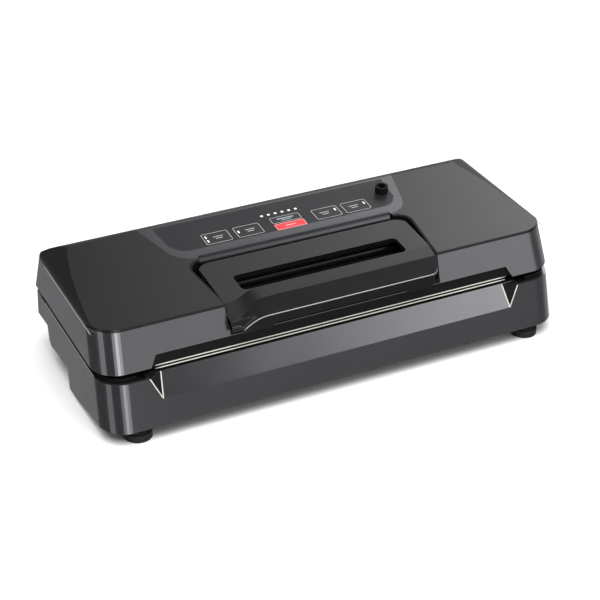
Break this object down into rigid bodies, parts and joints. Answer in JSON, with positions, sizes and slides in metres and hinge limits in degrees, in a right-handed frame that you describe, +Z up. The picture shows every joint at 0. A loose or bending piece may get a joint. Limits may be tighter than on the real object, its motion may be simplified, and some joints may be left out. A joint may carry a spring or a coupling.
{
  "type": "vacuum sealer",
  "caption": "Long countertop vacuum sealer: hinged lid with key panel, hose port and a recessed bar handle that latches it, over a base with vacuum trough and heat bar.",
  "frame": {"origin": "centre of the footprint, at the bottom of the rubber feet", "axes": "+X to the right along the length, +Y to the hinge side at the back, +Z up"},
  "size_m": [0.3998, 0.1736, 0.1011],
  "materials": {
    "gunmetal_paint": "fine metallic gunmetal paint, satin",
    "black_cover": "smooth satin black",
    "handle_black": "satin black, fine texture",
    "inner_black": "matt black moulded plastic",
    "panel_film": "dark grey printed film",
    "key_dark": "dark grey with a light outline",
    "key_red": "red with a light outline",
    "led_white": "translucent white",
    "black_rubber": "matt black rubber",
    "red_silicone": "matt red silicone",
    "silicone_tube": "milky silicone",
    "steel": "zinc plated",
    "dark_steel": "dark plated",
    "motor_metal": "drawn steel can",
    "brass": "turned brass",
    "grey_plastic": "moulded grey nylon",
    "board_green": "green circuit board",
    "board_part": "board components",
    "insulator_brown": "brown phenolic",
    "heater_metal": "resistance strip",
    "ptfe_tan": "woven glass and release film",
    "cream_trim": "champagne metallic",
    "valve_body": "blue coil wrap",
    "plunger_red": "red switch plunger"
  },
  "bodies": {
    "base": {"base_shell": "gunmetal_paint", "bottom_tub": "inner_black", "rubber_feet": "black_rubber", "base_deck": "inner_black", "latch_guides": "inner_black", "lower_gasket": "black_rubber", "heat_bar_insulator": "insulator_brown", "heating_strip": "heater_metal", "ptfe_tape": "ptfe_tan", "latch_catches": "dark_steel", "hinge_brackets": "steel", "hinge_pins": "steel", "power_inlet": "inner_black", "inlet_pins": "brass", "transformer": "dark_steel", "main_board": "board_green", "board_parts": "board_part", "pump_motor": "motor_metal", "pump_head": "grey_plastic", "pump_diaphragm": "black_rubber", "pump_bracket": "steel", "pump_grommets": "black_rubber", "air_tubes": "silicone_tube", "release_valve": "valve_body", "pressure_sensor": "board_part", "microswitches": "inner_black", "base_screws": "steel"},
    "lid": {"lid_skirt": "gunmetal_paint", "cover_left": "black_cover", "cover_right": "black_cover", "control_bezel": "gunmetal_paint", "control_overlay": "panel_film", "led_lenses": "led_white", "key_board": "board_green", "tact_domes": "steel", "hose_port": "inner_black", "hose_tube": "silicone_tube", "handle_pocket": "inner_black", "shaft_bearings": "grey_plastic", "lid_liner": "inner_black", "upper_gasket": "black_rubber", "pressure_strip": "red_silicone", "seal_trim": "cream_trim", "lid_knuckles": "steel", "lid_screws": "steel"},
    "handle": {"handle_shell": "handle_black", "handle_backing": "handle_black", "handle_screws": "steel", "latch_shaft": "dark_steel", "latch_hooks": "steel"},
    "key_vacuum": {"key_vacuum": "key_dark"},
    "key_pulse": {"key_pulse": "key_dark"},
    "key_start": {"key_start": "key_dark"},
    "key_stop": {"key_stop": "key_red"},
    "key_mode": {"key_mode": "key_dark"},
    "key_seal": {"key_seal": "key_dark"},
    "switch_plunger_left": {"switch_plunger_left": "plunger_red"},
    "switch_plunger_right": {"switch_plunger_right": "plunger_red"},
    "pump_rotor": {"pump_rotor": "brass"}
  },
  "joints": [
    {"name": "lid_hinge", "type": "hinge", "parent": "base", "child": "lid", "pos_m": [0, 0.0835, 0.0529], "axis": [-1, 0, 0], "range_deg": [0, 60]},
    {"name": "handle_pivot", "type": "hinge", "parent": "lid", "child": "handle", "pos_m": [0, -0.022, 0.078], "axis": [-1, 0, 0], "range_deg": [-7, 15]},
    {"name": "key_vacuum_press", "type": "slide", "parent": "lid", "child": "key_vacuum", "axis": [0, 0.0621, -0.9981], "range_m": [0, 0.0006], "stiffness_N_per_m": 400},
    {"name": "key_pulse_press", "type": "slide", "parent": "lid", "child": "key_pulse", "axis": [0, 0.0621, -0.9981], "range_m": [0, 0.0006], "stiffness_N_per_m": 400},
    {"name": "key_start_press", "type": "slide", "parent": "lid", "child": "key_start", "axis": [0, 0.0621, -0.9981], "range_m": [0, 0.0006], "stiffness_N_per_m": 400},
    {"name": "key_stop_press", "type": "slide", "parent": "lid", "child": "key_stop", "axis": [0, 0.0621, -0.9981], "range_m": [0, 0.0006], "stiffness_N_per_m": 400},
    {"name": "key_mode_press", "type": "slide", "parent": "lid", "child": "key_mode", "axis": [0, 0.0621, -0.9981], "range_m": [0, 0.0006], "stiffness_N_per_m": 400},
    {"name": "key_seal_press", "type": "slide", "parent": "lid", "child": "key_seal", "axis": [0, 0.0621, -0.9981], "range_m": [0, 0.0006], "stiffness_N_per_m": 400},
    {"name": "switch_plunger_left_press", "type": "slide", "parent": "base", "child": "switch_plunger_left", "axis": [0, 1, 0], "range_m": [0, 0.0008], "stiffness_N_per_m": 300},
    {"name": "switch_plunger_right_press", "type": "slide", "parent": "base", "child": "switch_plunger_right", "axis": [0, 1, 0], "range_m": [0, 0.0008], "stiffness_N_per_m": 300},
    {"name": "pump_rotor_spin", "type": "hinge", "parent": "base", "child": "pump_rotor", "pos_m": [-0.02, 0.045, 0.028], "axis": [1, 0, 0], "continuous": true}
  ]
}
